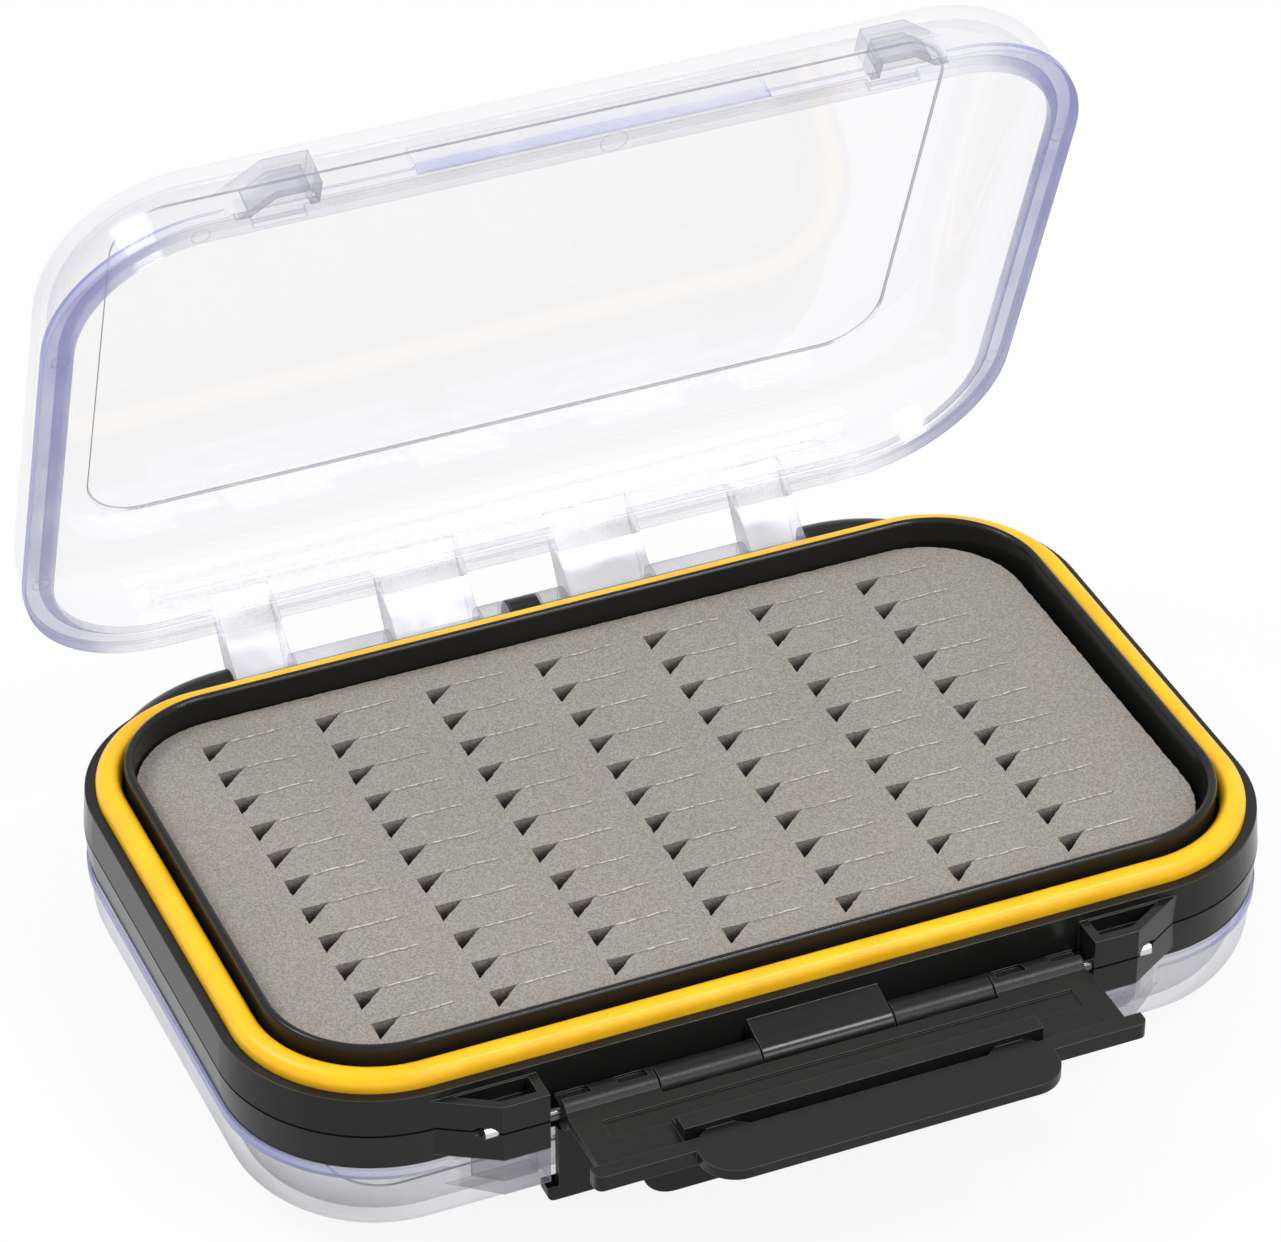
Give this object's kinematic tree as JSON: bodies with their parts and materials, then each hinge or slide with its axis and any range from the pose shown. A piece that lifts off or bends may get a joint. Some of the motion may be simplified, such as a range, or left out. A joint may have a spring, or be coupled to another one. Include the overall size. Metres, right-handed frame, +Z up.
{
  "type": "fly box",
  "caption": "Two-sided fly box with a black frame, clear domed lids on pins, tilting latches, gasket seals and slit foam pads; stored with one lid open.",
  "frame": {"origin": "centre of the lower lid's flat panel, on the surface on which the box stands", "axes": "+Z up out of the open tray, +Y from the latches towards the hinges, +X along the box to the right, seen from the latches"},
  "size_m": [0.1548, 0.1448, 0.1266],
  "materials": {
    "frame_plastic": "glossy black ABS",
    "clear_lid": "clear polycarbonate with a faint violet cast",
    "seal_rubber": "satin yellow-orange silicone",
    "foam": "matt warm grey closed-cell foam",
    "adhesive_film": "matt white film",
    "latch_plastic": "satin, finely textured black nylon",
    "steel_pin": "bright drawn steel"
  },
  "bodies": {
    "frame": {"frame": "frame_plastic", "upper_seal": "seal_rubber", "lower_seal": "seal_rubber", "upper_foam": "foam", "lower_foam": "foam", "upper_foam_film": "adhesive_film", "lower_foam_film": "adhesive_film", "left_hinge_pin": "steel_pin", "right_hinge_pin": "steel_pin", "left_latch_pin": "steel_pin", "right_latch_pin": "steel_pin"},
    "upper_lid": {"upper_lid": "clear_lid"},
    "lower_lid": {"lower_lid": "clear_lid"},
    "upper_latch": {"upper_latch": "latch_plastic"},
    "lower_latch": {"lower_latch": "latch_plastic"}
  },
  "joints": [
    {"name": "upper_lid_hinge", "type": "hinge", "parent": "frame", "child": "upper_lid", "pos_m": [0, 0.0548, 0.0213], "axis": [1, 0, 0], "range_deg": [-35, 70]},
    {"name": "lower_lid_hinge", "type": "hinge", "parent": "frame", "child": "lower_lid", "pos_m": [0, 0.0548, 0.0213], "axis": [1, 0, 0], "range_deg": [0, 105]},
    {"name": "upper_latch_hinge", "type": "hinge", "parent": "frame", "child": "upper_latch", "pos_m": [0, -0.0522, 0.0213], "axis": [1, 0, 0], "range_deg": [-90, 0]},
    {"name": "lower_latch_hinge", "type": "hinge", "parent": "frame", "child": "lower_latch", "pos_m": [0, -0.0522, 0.0213], "axis": [1, 0, 0], "range_deg": [-90, 0]}
  ]
}
